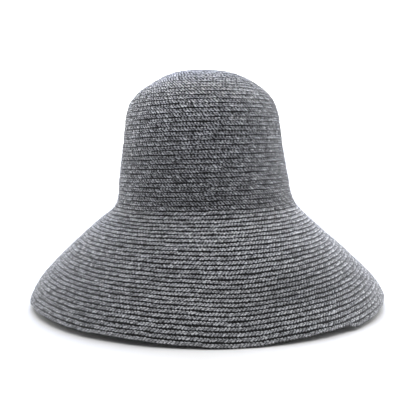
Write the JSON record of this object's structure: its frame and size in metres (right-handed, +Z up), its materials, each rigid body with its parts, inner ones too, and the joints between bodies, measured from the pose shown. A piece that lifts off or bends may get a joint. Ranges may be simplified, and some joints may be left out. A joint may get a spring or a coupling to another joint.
{
  "type": "sun hat",
  "caption": "Sun hat with a tall domed crown and a wide sloping brim, sewn in rows from a narrow mottled grey straw braid.",
  "frame": {"origin": "on the floor that the rim rests on, under the middle of the hat", "axes": "+Z up through the crown, -Y to the front that the picture shows, +X to the right of that view"},
  "size_m": [0.3801, 0.3631, 0.2487],
  "materials": {
    "crown_braid": "matte mottled grey straw braid, sewn in overlapping rows",
    "brim_braid": "matte mottled grey straw braid, sewn in overlapping rows"
  },
  "bodies": {
    "root": {"crown": "crown_braid", "brim": "brim_braid"}
  },
  "joints": []
}
